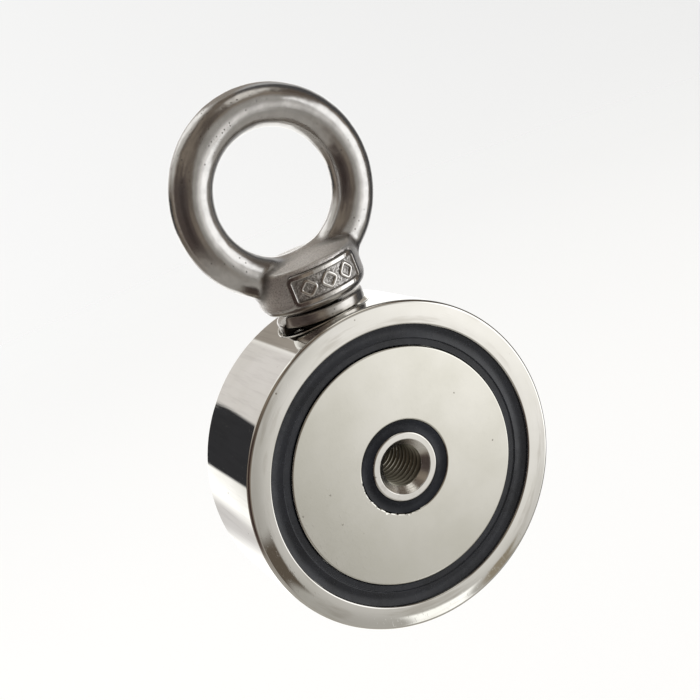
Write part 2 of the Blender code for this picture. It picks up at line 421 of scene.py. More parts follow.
def shader_group(name, inputs, outputs):
    tree = bpy.data.node_groups.new(name, "ShaderNodeTree")
    for label, default in inputs.items():
        kind = "NodeSocketVector" if isinstance(default, tuple) else "NodeSocketFloat"
        socket = tree.interface.new_socket(label, in_out="INPUT", socket_type=kind)
        socket.default_value = default
    for label in outputs:
        tree.interface.new_socket(label, in_out="OUTPUT", socket_type="NodeSocketFloat")
    return tree, flows(tree.nodes.new("NodeGroupInput")), tree.nodes.new("NodeGroupOutput").inputs


def speckled(vector, scale, share, near_low, near_high):
    """Round spots in a chosen share of a cell pattern."""
    cells = flows(new_node(vector.tree, "ShaderNodeTexVoronoi", {
        "Vector": vector, "Scale": scale}, feature="F1"))
    pick = made(vector.tree, "ShaderNodeSeparateColor", {0: cells["Color"]})
    near = ramp(cells["Distance"], near_low, near_high, 1.0, 0.0)
    return calc("LESS_THAN", pick, share) * near


def make_fine_marks():
    """Hairline scratches, small specks and a slow cloud on a polished surface."""
    tree, given, result = shader_group("Fine marks", {
        "Vector": (0.0, 0.0, 0.0), "Speck size": 900.0, "Speck share": 0.16, "Hair scale": 1.0,
    }, ["Hairs", "Specks", "Cloud"])
    place = given["Vector"]
    stretch = made(tree, "ShaderNodeMapping", {
        "Vector": place, "Rotation": (0.3, 0.5, 0.9), "Scale": (2600.0, 60.0, 900.0)})
    scaled = made(tree, "ShaderNodeVectorMath", {
        0: stretch, "Scale": given["Hair scale"]}, operation="SCALE")
    feed(result["Hairs"], ramp(noise_value(scaled, 1.0, 3.0, 0.6), 0.58, 0.74))
    feed(result["Specks"], speckled(place, given["Speck size"], given["Speck share"], 0.10, 0.26))
    feed(result["Cloud"], ramp(noise_value(place, 75.0, 4.0, 0.55), 0.3, 0.7))
    return tree


def make_cast_skin():
    """Pits, mottling and slow lumps of a cast and tumbled surface."""
    tree, given, result = shader_group("Cast skin", {
        "Vector": (0.0, 0.0, 0.0), "Pit size": 1500.0, "Pit share": 0.3, "Grain size": 6500.0,
    }, ["Pits", "Grain", "Mottle", "Height"])
    place = given["Vector"]
    share = given["Pit share"] * ramp(noise_value(place, 190.0), 0.42, 0.7)
    pits = speckled(place, given["Pit size"], share, 0.05, 0.34)
    grain = noise_value(place, given["Grain size"], 2.0, 0.6)
    mottle = noise_value(place, 420.0, 4.0, 0.6)
    height = mottle * 0.5 + grain * 0.22 - pits
    for label, value in (("Pits", pits), ("Grain", grain), ("Mottle", mottle), ("Height", height)):
        feed(result[label], value)
    return tree


def make_tent_panel():
    """A soft-edged panel on the light tent, by azimuth and elevation in degrees."""
    tree, given, result = shader_group("Tent panel", {
        "Azimuth": 0.0, "Elevation": 0.0, "Centre azimuth": 0.0, "Centre elevation": 0.0,
        "Half width": 20.0, "Half height": 20.0, "Softness": 10.0,
    }, ["Mask"])
    turn = calc("WRAP", given["Azimuth"] - given["Centre azimuth"], 180.0, -180.0)
    lift = given["Elevation"] - given["Centre elevation"]
    across, up = (
        ramp((calc("ABSOLUTE", offset) - half) / given["Softness"], -0.5, 0.5, 1.0, 0.0)
        for offset, half in ((turn, given["Half width"]), (lift, given["Half height"])))
    feed(result["Mask"], across * up)
    return tree


FINE_MARKS = make_fine_marks()
CAST_SKIN = make_cast_skin()
TENT_PANEL = make_tent_panel()


# ---------------------------------------------------------------- materials

def new_material(name):
    """A material with its Principled inputs and the object's own coordinates."""
    material = bpy.data.materials.new(name)
    material.use_nodes = True
    tree = material.node_tree
    place = made(tree, "ShaderNodeTexCoord", output="Object")
    return material, tree.nodes["Principled BSDF"].inputs, place


def use_group(group, inputs):
    tree = tree_of(*inputs.values())
    return flows(new_node(tree, "ShaderNodeGroup", inputs, node_tree=group))


def read_values(tree, *names):
    """Values that a mesh carries on its vertices."""
    return [made(tree, "ShaderNodeAttribute", output="Fac", attribute_name=name) for name in names]


def set_looks(shader, base, rough, height, depth):
    feed(shader["Base Color"], base)
    feed(shader["Roughness"], rough)
    feed(shader["Normal"], made(height.tree, "ShaderNodeBump", {
        "Strength": 1.0, "Distance": depth, "Height": height}))


def turned_marks(place, base):
    """Buffing streaks on the faces, a brushed wall, and a rough bore darkened with painted shade
    inside the hub.
    """
    tree = place.tree
    x, depth, z = parted(place)
    height = z - POT_Z
    angle = calc("ARCTAN2", height, x)
    length = length_of(joined(tree, x, height))
    on_wall = calc("GREATER_THAN", length, POT_RADIUS - 0.0002)
    streak = ramp(noise_value(round_z(angle, 2.2, length * 520.0), 1.0, 3.0, 0.6), 0.50, 0.74)
    base = blend(streak * (1.0 - on_wall) * 0.32, base, (0.36, 0.32, 0.26))
    across = joined(tree, depth * 6.0 + angle * 30.0, depth * 55.0)
    brushed = ramp(noise_value(across, 1.0, 3.0, 0.6), 0.44, 0.74) * on_wall
    base = blend(brushed * 0.30, base, (0.50, 0.48, 0.46))
    bore = calc("LESS_THAN", length, HUB_MOUTH)
    burr = noise_value(joined(tree, angle * 2.6, length * 4600.0), 1.0, 3.0, 0.65) * bore
    # Painted shade: the bore's inner wall inside the hub is darkened nearly to black, where shade
    # falls.
    inside = calc("LESS_THAN", calc("ABSOLUTE", depth), HUB_TOP - 0.0014)
    deep = calc("LESS_THAN", length, 0.00520) * inside
    return blend(deep * 0.85, base, (0.05, 0.046, 0.036)), bore, burr


def nickel(name, colour, rough, hair_depth, speck_share, dull, turned=False):
    """Bright nickel plate with hairlines, a few dark specks and a slow cloud."""
    material, shader, place = new_material(name)
    marks = use_group(FINE_MARKS, {"Vector": place, "Speck share": speck_share})
    wear_and_shade = (colour[0] * 0.94, colour[1] * 0.94, colour[2] * 0.92)
    base = blend(marks["Cloud"], tuple(c * 1.02 for c in colour), wear_and_shade)
    bore = burr = 0.0
    if turned:
        base, bore, burr = turned_marks(place, base)
    base = blend(marks["Specks"] * 0.75, base, dull)
    shader["Metallic"].default_value = 1.0
    rough_value = marks["Cloud"] * (rough * 0.5) + rough * 0.75 + marks["Hairs"] * 0.05
    rough_value = rough_value + bore * 0.17 + marks["Specks"] * 0.3
    height = marks["Hairs"] - marks["Specks"] * 2.0 + burr * 34.0
    set_looks(shader, base, rough_value, height, hair_depth)
    return material


def cast_steel(name, colour, dark, rough, depth):
    """Tumbled cast stainless: satin, pitted, gritty where coarse, with painted shade darkening its
    corners and lightened edges that are partly real rubbing, partly painted highlight.
    """
    material, shader, place = new_material(name)
    skin = use_group(CAST_SKIN, {"Vector": place})
    coarse = use_group(CAST_SKIN, {
        "Vector": place, "Pit size": 2200.0, "Pit share": 2.2, "Grain size": 3100.0})
    corner, polish, grain = read_values(place.tree, "corner", "polish", "grain")
    # Painted shade: the corner mask, mottled, darkens creases, thread roots and gaps towards the
    # dark colour.
    painted_corner_shade = corner * ramp(skin["Mottle"], 0.2, 0.55, 0.35, 1.0)
    grit = ramp(coarse["Grain"], 0.44, 0.62) * grain
    base = blend(ramp(skin["Mottle"], 0.35, 0.7) * 0.5, colour, tuple(c * 0.78 for c in colour))
    # Two blends darken by the corner mask as painted shade; the last lightens raised tops and
    # edges, partly real rubbing, partly painted highlight.
    for share, shade in (
        (skin["Pits"] * 0.8, dark), (painted_corner_shade * 0.85, dark),
        (grain * 0.9, tuple(c * 1.58 for c in colour)), (coarse["Pits"] * grain * 0.5, dark),
        (painted_corner_shade * 0.5, dark), (grit * 0.30, dark), (polish * 0.75, (0.80, 0.78, 0.75)),
    ):
        base = blend(share, base, shade)
    shader["Metallic"].default_value = 1.0
    rough_value = skin["Mottle"] * 0.16 + rough + corner * 0.15 + grain * 0.20 - polish * 0.08
    height = coarse["Height"] * grain * 1.5 + skin["Height"] - grit * 1.6
    set_looks(shader, base, rough_value, height, depth)
    return material


def black_epoxy(name, sheen):
    """Black potting resin with soft ripples, lint and fine dust."""
    material, shader, place = new_material(name)
    marks = use_group(FINE_MARKS, {"Vector": place, "Speck size": 2600.0, "Speck share": 0.10})
    base = blend(marks["Cloud"], (0.006, 0.007, 0.010), (0.016, 0.018, 0.024))
    base = blend(marks["Specks"] * 0.5, base, (0.10, 0.10, 0.11))
    shader["IOR"].default_value = 1.55
    shader["Specular IOR Level"].default_value = 0.5 * sheen
    ripple = noise_value(place, 260.0)
    set_looks(shader, base, ripple * 0.22 + 0.16, marks["Specks"] * 0.15 + ripple, 0.00012)
    return material


def clear_glue(name):
    """Honey-coloured glue film under a magnet."""
    material, shader, place = new_material(name)
    marks = use_group(FINE_MARKS, {"Vector": place, "Speck size": 1300.0, "Speck share": 0.3})
    base = blend(marks["Cloud"], (0.42, 0.33, 0.17), (0.60, 0.50, 0.30))
    base = blend(marks["Specks"], base, (0.75, 0.68, 0.50))
    set_looks(shader, base, marks["Cloud"] * 0.3 + 0.25, marks["Cloud"], 0.0001)
    return material


POT_NICKEL = nickel(
    "pot_nickel", (0.83, 0.82, 0.785), 0.030, 0.000001, 0.006, (0.20, 0.17, 0.14), True)
MAGNET_NICKEL = nickel(
    "magnet_nickel", (0.80, 0.79, 0.733), 0.10, 0.000002, 0.008, (0.30, 0.28, 0.24))
BOLT_STEEL = cast_steel(
    "cast_stainless", (0.60, 0.588, 0.572), (0.06, 0.048, 0.040), 0.12, 0.000022)
WASHER_STEEL = cast_steel(
    "washer_steel", (0.62, 0.60, 0.57), (0.10, 0.08, 0.065), 0.12, 0.000008)
# Painted shade: the thread steel is a dark olive that stands for the shade inside the threaded
# holes.
SHADED_THREAD_STEEL = cast_steel(
    "thread_steel_painted_shade", (0.34, 0.325, 0.265), (0.028, 0.025, 0.018), 0.20, 0.000010)
EPOXY = black_epoxy("black_epoxy", 0.85)
DEEP_EPOXY = black_epoxy("deep_black_epoxy", 0.45)
GLUE = clear_glue("clear_glue")


# ---------------------------------------------------------------- turned parts

def arc(centre_r, centre_h, radius, start, end, count):
    steps = [math.radians(start + (end - start) * i / (count - 1)) for i in range(count)]
    return [(centre_r + radius * math.cos(a), centre_h + radius * math.sin(a)) for a in steps]


def outline_facts(outline, sharp_above=34.0):
    """Segments of a closed outline with a normal at each end, for smooth shading."""
    points = np.array(outline, float)
    along = np.roll(points, -1, axis=0) - points
    length = np.hypot(along[:, 0], along[:, 1])
    normal = np.stack([along[:, 1], -along[:, 0]], 1) / length[:, None]
    before = np.roll(np.arange(len(points)), 1)
    corner = normal * (length ** 2)[:, None] + normal[before] * (length[before] ** 2)[:, None]
    corner /= np.linalg.norm(corner, axis=1)[:, None]
    same = (normal * normal[before]).sum(1) > math.cos(math.radians(sharp_above))
    first = np.where(same[:, None], corner, normal)
    last = np.where(np.roll(same, -1)[:, None], np.roll(corner, -1, axis=0), normal)
    return points, along, normal, first, last


def shade_turned(mesh, outline, bore_axis=False):
    """Exact normals wherever a face belongs to the outline, so that polished faces mirror truly."""
    points, along, normal, first, last = outline_facts(outline)
    mesh.shade_smooth()
    centres = read_array(mesh.polygons, "center")
    face_normals = read_array(mesh.polygons, "normal")
    totals = read_array(mesh.polygons, "loop_total", 1, int)
    v = vertex_array(mesh)[read_array(mesh.loops, "vertex_index", 1, int)]

    r = radius_in(centres, POT_Z, 2)
    spot = np.stack([r, -centres[:, 1]], 1)
    square = (along ** 2).sum(1)
    share = ((spot[:, None] - points[None]) * along[None]).sum(2) / square[None]
    near = points[None] + np.clip(share, 0, 1)[..., None] * along[None]
    distance = np.linalg.norm(spot[:, None] - near, axis=2)
    out_r = (face_normals[:, 0] * centres[:, 0] + face_normals[:, 2] * (centres[:, 2] - POT_Z)) / r
    facing = out_r[:, None] * normal[None, :, 0] - face_normals[:, 1, None] * normal[None, :, 1]
    distance = np.where(facing > 0.8, distance, 1.0)
    matched = distance.min(1) < 0.000012

    face_of = np.repeat(np.arange(len(totals)), totals)
    vr = radius_in(v, POT_Z, 2)
    seg = distance.argmin(1)[face_of]
    t = ((np.stack([vr, -v[:, 1]], 1) - points[seg]) * along[seg]).sum(1) / square[seg]
    t = np.clip(t, 0, 1)[:, None]
    n = first[seg] * (1 - t) + last[seg] * t
    n /= np.linalg.norm(n, axis=1)[:, None]
    on_outline = np.stack([n[:, 0] * v[:, 0] / vr, -n[:, 1], n[:, 0] * (v[:, 2] - POT_Z) / vr], 1)
    other = face_normals[face_of].copy()
    if bore_axis:
        flat_r = np.maximum(radius_in(v), 1e-9)
        radial = -np.stack([v[:, 0], v[:, 1], np.zeros(len(v))], 1) / flat_r[:, None]
        other = np.where((np.abs(other[:, 2]) < 0.2)[:, None], radial, other)
    mesh.normals_split_custom_set(np.where(matched[face_of][:, None], on_outline, other))


def pot_outline():
    """The pot's section: wall, rounded rim edges, pockets and hub, front half then back half."""
    rim_start, rim_end = POT_RADIUS - RIM_ROUND - 3 * NEAR, RIM_INNER + RIM_EDGE + NEAR
    half = [(POT_RADIUS, HALF_POT - RIM_ROUND - 3 * NEAR)]
    half += arc(POT_RADIUS - RIM_ROUND, HALF_POT - RIM_ROUND, RIM_ROUND, 0, 90, 13)
    half += [(rim_start + (rim_end - rim_start) * t, HALF_POT + RIM_CROWN * math.sin(math.pi * t))
             for t in np.linspace(0.0, 1.0, 9).tolist()]
    half += arc(RIM_INNER + RIM_EDGE, HALF_POT - RIM_EDGE, RIM_EDGE, 90, 180, 7)
    half += [(RIM_INNER, HALF_POT - RIM_EDGE - NEAR), (RIM_INNER, POT_FLOOR)]
    half += [(HUB_RADIUS, POT_FLOOR), (HUB_RADIUS, HUB_TOP - 0.00032 - NEAR)]
    half += arc(HUB_RADIUS - HUB_EDGE, HUB_TOP - HUB_EDGE, HUB_EDGE, 0, 90, 7)
    half += [(HUB_RADIUS - HUB_EDGE - NEAR, HUB_TOP), (HUB_MOUTH + MOUTH_EDGE + NEAR, HUB_TOP)]
    half += arc(HUB_MOUTH + MOUTH_EDGE, HUB_TOP - MOUTH_EDGE, MOUTH_EDGE, 90, 135, 4)
    half += [(0.00438, HUB_TOP - 0.00126), (0.00430, HUB_TOP - 0.00138)]
    half += [(0.00434, HUB_TOP - 0.00146), (HOLE_RADIUS, HUB_TOP - 0.00180)]
    return half + [(r, -h) for r, h in reversed(half)]


def magnet_outline():
    """A ring magnet's section, with its two top edges rounded."""
    inner, outer, top, edge = MAGNET_BORE, MAGNET_RADIUS, MAGNET_TOP, MAGNET_EDGE
    run = edge * 0.35
    points = [(inner, MAGNET_BASE), (outer, MAGNET_BASE), (outer, top - edge - run)]
    points += arc(outer - edge, top - edge, edge, 0, 90, 6)
    points += [(outer - edge - run, top)]
    points += [(inner + past, top) for past in (0.0013, 0.0010, 0.0008, 0.0006, edge + run)]
    points += arc(inner + edge, top - edge, edge, 90, 180, 6)
    return points + [(inner, top - edge - run)]


def outer_potting_outline():
    """Resin between magnet and rim: a low ledge by the magnet, a step, then a slight dish."""
    inner, outer, top = MAGNET_RADIUS + GAP, RIM_INNER - 0.00005, POTTING_TOP
    step, dish = inner + LEDGE_WIDTH, outer - 0.0004
    points = [(inner, POTTING_BASE), (outer, POTTING_BASE), (outer, top + 0.00012)]
    points += [(outer - 0.00012, top + 0.00006), (dish, top - 0.00002)]
    for t in np.linspace(0.0, 1.0, 9).tolist()[1:-1]:
        sag = 0.00018 * math.sin(math.pi * t)
        points.append((dish + (step + 0.0002 - dish) * t, top - 0.00002 - sag))
    points += [(step + 0.0001, top), (step, top - 0.00004), (step - 0.00008, top - 0.00022)]
    points += [(step - 0.0002, top - 0.0003), (inner + 0.0003, top - 0.0003)]
    return points + [(inner + 0.00008, top - 0.00026), (inner, top - 0.00016)]


def inner_potting_outline():
    """Resin between magnet and hub, dished by its own shrinkage."""
    inner, outer, top = HUB_RADIUS + GAP * 0.4, MAGNET_BORE - GAP * 0.4, POTTING_TOP
    points = [(inner, POTTING_BASE), (outer, POTTING_BASE), (outer, top + 0.00010)]
    for i in range(11):
        t = i / 10.0
        sag = 0.00020 * math.sin(math.pi * t) ** 0.8
        points.append((outer - 0.0001 + (inner - outer + 0.0002) * t, top + 0.00005 - sag))
    return points + [(inner, top + 0.00010)]


def make_pot():
    """The pot turned in one piece, then cut for the seat and the side hole."""
    outline = pot_outline()
    pot = mesh_object("steel_pot_body", *lathe(outline, 256, closed=True))
    lay_along_pot(pot.data)
    merge_and_face_out(pot.data)
    steps = 128
    levels = [
        (SEAT_RADIUS, SEAT_Z + 0.006), (SEAT_RADIUS, SEAT_Z), (HOLE_RADIUS + 0.0004, SEAT_Z),
        (HOLE_RADIUS, SEAT_Z - 0.0004), (HOLE_RADIUS, SHANK_TIP - HOLE_SPARE),
    ]
    verts, faces = lathe(levels, steps)
    faces += [tuple(range(steps)), tuple(reversed(range(len(verts) - steps, len(verts))))]
    cutter = mesh_object("seat_and_side_hole", verts, faces)
    merge_and_face_out(cutter.data)
    cut = pot.modifiers.new("cut", "BOOLEAN")
    cut.operation = "DIFFERENCE"
    cut.solver = "EXACT"
    cut.object = cutter
    plain_mesh(pot)
    bpy.data.objects.remove(cutter, do_unlink=True)
    shade_turned(pot.data, outline, bore_axis=True)
    paint(pot.data, POT_NICKEL)
    return pot


steel_pot = make_pot()


# Ring tree: a section, drawn as a loop at its own radius, swept round the pot's axis

def make_ring_tree():
    tree, given = geometry_tree("Turned ring", ["Radius"], ["Steps"], True)
    circle = upright(circle_curve(given["Radius"], given["Steps"]))
    ring = swept(circle, edges_to_curve(given["Geometry"]))
    return finish_tree(tree, ring, given["Material"])


RING_TREE = make_ring_tree()


def chip_edge(points, seed, side):
    """Small chips along the magnet's bore edge, where plating has broken away."""
    r = radius_in(points, POT_Z, 2)
    a = np.arctan2(points[:, 2] - POT_Z, points[:, 0])
    wave = np.array([
        noise.noise(Vector((math.cos(x) * 6.0, math.sin(x) * 6.0, seed)))
        + 0.4 * noise.noise(Vector((math.cos(x) * 17.0, math.sin(x) * 17.0, y * 1200.0)))
        for x, y in zip(a, r)])
    wear_and_shade = 0.12 + 0.88 * np.clip(np.cos(a - CHIP_ANGLE) * 3.0 - 1.7, 0.0, 1.0)
    reach = CHIP_REACH * np.clip(wave * 0.9 + 0.25, 0.0, 1.0) * wear_and_shade
    near = ease(1.0, 0.55, (r - MAGNET_BORE) / np.maximum(reach, 1e-6)) * (reach > 0.00016)
    near *= ease(0.0007, 0.0002, MAGNET_TOP + points[:, 1] * side)
    points[:, 1] += near * side * (0.00005 + 0.00002 * wave)
    grow = 1.0 + near * 0.00012 / r * (r < MAGNET_BORE + 0.0003)
    points[:, 0] *= grow
    points[:, 2] = POT_Z + (points[:, 2] - POT_Z) * grow
    return points


def ring_piece(name, outline, side, steps, material, chip_seed=None):
    """A turned ring on the front or the back of the pot."""
    radius = outline[0][0]
    loop = loop_mesh(name, [(r - radius, -h) for r, h in outline])
    ring = grown(name, RING_TREE, {"Radius": radius, "Steps": steps, "Material": material}, loop)
    lay_along_pot(ring.data, side)
    if chip_seed is not None:
        set_vertices(ring.data, chip_edge(vertex_array(ring.data), chip_seed, side))
    merge_and_face_out(ring.data)
    shade_turned(ring.data, outline if side > 0 else [(r, -h) for r, h in reversed(outline)])
    return ring


rings = {}
for word, side, chip_seed in (("front", 1, 5.0), ("back", -1, 11.0)):
    rings[word] = (
        ring_piece(f"{word}_ring_magnet", magnet_outline(), side, 384, MAGNET_NICKEL, chip_seed),
        ring_piece(f"{word}_outer_black_ring", outer_potting_outline(), side, 192, EPOXY),
        ring_piece(f"{word}_inner_black_ring", inner_potting_outline(), side, 128, DEEP_EPOXY),
    )


# Thread tree: a ridge wound as a right-hand helix on Z, faded at both ends

def make_thread_tree():
    tree, given = geometry_tree(
        "Thread ridge",
        ["Radius", "Depth", "Foot width", "Crest width", "Pitch", "Start", "Turns", "Fade"],
        ["Steps a turn"])
    turns, depth = given["Turns"], given["Depth"]
    turn = made(tree, "GeometryNodeInputIndex") / given["Steps a turn"]
    path = wound_curve(
        turns * given["Steps a turn"] + 1.0, turn * (2.0 * math.pi), given["Radius"],
        turn * given["Pitch"] + given["Start"])
    fade = calc("DIVIDE", calc("MINIMUM", turn, turns - turn), given["Fade"], clamp=True)
    size = calc("MAXIMUM", fade, 0.02)
    faded = made(tree, "GeometryNodeSetCurveRadius", {"Curve": path, "Radius": size})
    section = new_node(tree, "GeometryNodeCurvePrimitiveQuadrilateral", mode="POINTS")
    foot, crest = given["Foot width"] * 0.5, given["Crest width"] * 0.5
    corners = ((0.0, foot * -1.0), (depth, crest * -1.0), (depth, crest), (0.0, foot))
    for number, (x, y) in enumerate(corners, 1):
        feed(section.inputs[f"Point {number}"], joined(tree, x, y))
    ridge = swept(faded, Flow(section.outputs[0]), Scale=size, Fill_Caps=True)
    return finish_tree(tree, ridge, given["Material"])


THREAD_TREE = make_thread_tree()


def thread_ridge(name, inward, low, high, steps, fade=0.6):
    """The ridge of a male thread, or of a hole's thread when inward."""
    wall = HOLE_RADIUS if inward else THREAD_MINOR
    depth = (THREAD_MAJOR - THREAD_MINOR) * (-1.0 if inward else 1.0)
    sink = 0.00006 if inward else -0.00006
    phase = 0.0 if inward else 0.5
    start = (math.ceil(low / THREAD_PITCH - phase) + phase) * THREAD_PITCH
    ridge = grown(name, THREAD_TREE, {
        "Radius": wall + sink, "Depth": depth - sink, "Foot width": THREAD_PITCH * 0.84,
        "Crest width": THREAD_PITCH * 0.16, "Pitch": THREAD_PITCH, "Start": start,
        "Turns": math.floor((high - start) / THREAD_PITCH * 8.0) / 8.0, "Steps a turn": steps,
        "Fade": fade, "Material": SHADED_THREAD_STEEL})
    merge_and_face_out(ridge.data)
    ridge.data.set_sharp_from_angle(angle=math.radians(30.0))
    p = vertex_array(ridge.data)
    # Painted shade: the roots by the wall, and on the shank the stretch above the seat inside the
    # washer, are marked for darkening.
    deep = 1.0 - ease(0.0, 0.0005, np.abs(radius_in(p) - wall))
    if not inward:
        deep = np.maximum(deep, ease(SEAT_Z - 0.0005, SEAT_Z + 0.0005, p[:, 2]))
    add_values(ridge.data, corner=deep)
    return ridge


hub_thread = thread_ridge("hub_thread", True, 0.0013 - HUB_TOP, HUB_TOP - 0.0013, 64, 0.15)
lay_along_pot(hub_thread.data)
side_thread = thread_ridge("side_hole_thread", True, SHANK_TIP - 0.001, SEAT_Z - 0.0006, 48)
shank_thread = thread_ridge(
    "shank_thread", False, SHANK_TIP + 0.0002, COLLAR_BASE - 0.0001, 64, 0.8)


def make_shank():
    """Plain core of the shank with its lead-in point."""
    tip, top = THREAD_MINOR - 0.0005, COLLAR_BASE + 0.001
    core = mesh_object("shank_core", *lathe([
        (0.0, SHANK_TIP), (tip - 0.0001, SHANK_TIP), (tip, SHANK_TIP + 0.0001),
        (THREAD_MINOR, SHANK_TIP + 0.0007), (THREAD_MINOR, top), (0.0, top)], 96))
    merge_and_face_out(core.data, 1e-7)
    core.data.set_sharp_from_angle(angle=math.radians(25.0))
    # Painted shade: the whole core, which lies between the thread's ridges, is marked for
    # darkening.
    add_values(core.data, corner=np.ones(len(core.data.vertices)))
    paint(core.data, SHADED_THREAD_STEEL)
    return core


shank_core = make_shank()


# Seat lip tree: a burnished edge that follows the spot face round the curved wall

def make_lip_tree():
    tree, given = geometry_tree(
        "Seat lip", ["Seat radius", "Pot radius", "Pot axis height", "Thickness"], ["Steps"])
    x, y, _ = parted(made(tree, "GeometryNodeInputPosition"))
    rise = calc("SQRT", given["Pot radius"] * given["Pot radius"] - x * x)
    circle = circle_curve(given["Seat radius"], given["Steps"])
    edge = moved(circle, joined(tree, x, y, rise + given["Pot axis height"]))
    lip = swept(edge, circle_curve(given["Thickness"] * 0.5, 12))
    return finish_tree(tree, lip, given["Material"])


seat_lip = grown("seat_lip", make_lip_tree(), {
    "Seat radius": SEAT_RADIUS + 0.00004, "Pot radius": POT_RADIUS - 0.00008,
    "Pot axis height": POT_Z, "Thickness": 0.00042, "Steps": 160, "Material": POT_NICKEL})
merge_and_face_out(seat_lip.data)
seat_lip.data.shade_smooth()


# ---------------------------------------------------------------- eyebolt casting

def soft_min(a, b, k):
    """The lesser of two distances, rounded over k where they meet."""
    h = np.clip(0.5 + 0.5 * (b - a) / k, 0.0, 1.0)
    return b * (1.0 - h) + a * h - k * h * (1.0 - h)


def soft_max(a, b, k):
    return -soft_min(-a, -b, k)


def ring_field(p):
    return np.hypot(radius_in(p, 0.0, 2) - EYE_RING, p[:, 1]) - EYE_WIRE


def collar_field(p):
    r, z = radius_in(p), p[:, 2]
    top = z - COLLAR_TOP - COLLAR_CROWN * (1.0 - (r / COLLAR_TOP_RADIUS) ** 2)
    slope = (r - COLLAR_TOP_RADIUS - 0.00045) * 0.93 + (z - COLLAR_TOP) * 0.36
    body = soft_max(r - COLLAR_RADIUS, slope, 0.0010)
    return soft_max(soft_max(body, top, 0.00045), COLLAR_BASE - z, 0.0026)


def casting_field(p):
    """Ring and collar joined by a fillet, less the pockets that the panel plates fill."""
    s = np.arctan2(np.abs(p[:, 0]), np.abs(p[:, 1])) * COLLAR_RADIUS
    pocket = np.maximum(s - (PANEL_HALF_WIDTH - 0.00045), 0.0103 - radius_in(p))
    pocket = np.maximum(pocket, np.abs(p[:, 2] - PANEL_MIDDLE) - (PANEL_HALF_HEIGHT - 0.00045))
    return np.maximum(soft_min(ring_field(p), collar_field(p), 0.0017), -pocket)


def field_slope(field, p, step=0.00002):
    """How a field rises along X, Y and Z at each point."""
    slope = np.zeros_like(p)
    for axis in range(3):
        shift = np.zeros(3)
        shift[axis] = step
        slope[:, axis] = (field(p + shift) - field(p - shift)) / (2.0 * step)
    return slope


def make_casting():
    """Ring and collar blended into one skin, with fillets where they meet."""
    bpy.ops.mesh.primitive_torus_add(
        major_radius=EYE_RING, minor_radius=EYE_WIRE, major_segments=160, minor_segments=48,
        rotation=(math.pi / 2.0, 0.0, 0.0))
    casting = bpy.context.active_object
    casting.name = "eyebolt_casting"
    casting.data.transform(casting.matrix_world)
    casting.matrix_world = Matrix.Identity(4)
    blank = bmesh.new()
    blank.from_mesh(casting.data)
    bmesh.ops.create_cone(
        blank, cap_ends=True, segments=96, radius1=COLLAR_RADIUS, radius2=COLLAR_TOP_RADIUS,
        depth=COLLAR_TOP - COLLAR_BASE,
        matrix=Matrix.Translation((0.0, 0.0, (COLLAR_TOP + COLLAR_BASE) / 2.0)))
    blank.to_mesh(casting.data)
    blank.free()
    remesh = casting.modifiers.new("skin", "REMESH")
    remesh.mode = "VOXEL"
    remesh.voxel_size = SKIN_VOXEL
    mesh = plain_mesh(casting)
    p = vertex_array(mesh)
    for _ in range(6):
        slope = field_slope(casting_field, p)
        size = np.maximum((slope ** 2).sum(1), 0.2)
        p -= slope * (casting_field(p) / size)[:, None]
    slope = field_slope(casting_field, p)
    slope /= np.linalg.norm(slope, axis=1)[:, None]
    # Painted shade: the corner mask marks the crease where ring and collar meet, for the material
    # to darken.
    gap = np.abs(ring_field(p) - collar_field(p))
    bend = (field_slope(ring_field, p) * field_slope(collar_field, p)).sum(1)
    corner = (1.0 - ease(0.0002, 0.0013, gap)) * (1.0 - ease(0.35, 0.92, bend))
    lumps = np.array([noise.fractal(Vector(q) * 330.0, 1.0, 2.0, 2) for q in p])
    fine = np.array([noise.noise(Vector(q) * 1300.0) for q in p])
    above_base = 1.0 - ease(COLLAR_BASE + 0.0012, COLLAR_BASE + 0.0003, p[:, 2])
    lift = (lumps * 0.000035 + fine * (0.000006 + 0.000022 * corner)) * above_base
    p += slope * lift[:, None]
    set_vertices(mesh, p)
    mesh.shade_smooth()
    z = p[:, 2]
    # Partly real rubbing, partly painted highlight: a thin lightened band along the collar's top
    # edge.
    from_edge = np.hypot(radius_in(p) - COLLAR_TOP_RADIUS - 0.0001, z - COLLAR_TOP + 0.0001)
    on_collar = 1.0 - ease(-0.0002, 0.0008, collar_field(p))
    add_values(
        mesh, corner=corner, polish=1.0 - ease(0.00015, 0.00045, from_edge),
        grain=on_collar * ease(COLLAR_BASE + 0.0016, COLLAR_BASE + 0.0030, z))
    paint(mesh, BOLT_STEEL)
    return casting


eyebolt_casting = make_casting()


def edge_of_panel(s, z):
    """Distance outside the panel's round-cornered border."""
    qx = np.abs(s) - (PANEL_HALF_WIDTH - PANEL_ROUND)
    qz = np.abs(z - PANEL_MIDDLE) - (PANEL_HALF_HEIGHT - PANEL_ROUND)
    out = np.hypot(np.maximum(qx, 0), np.maximum(qz, 0)) + np.minimum(np.maximum(qx, qz), 0)
    return out - PANEL_ROUND


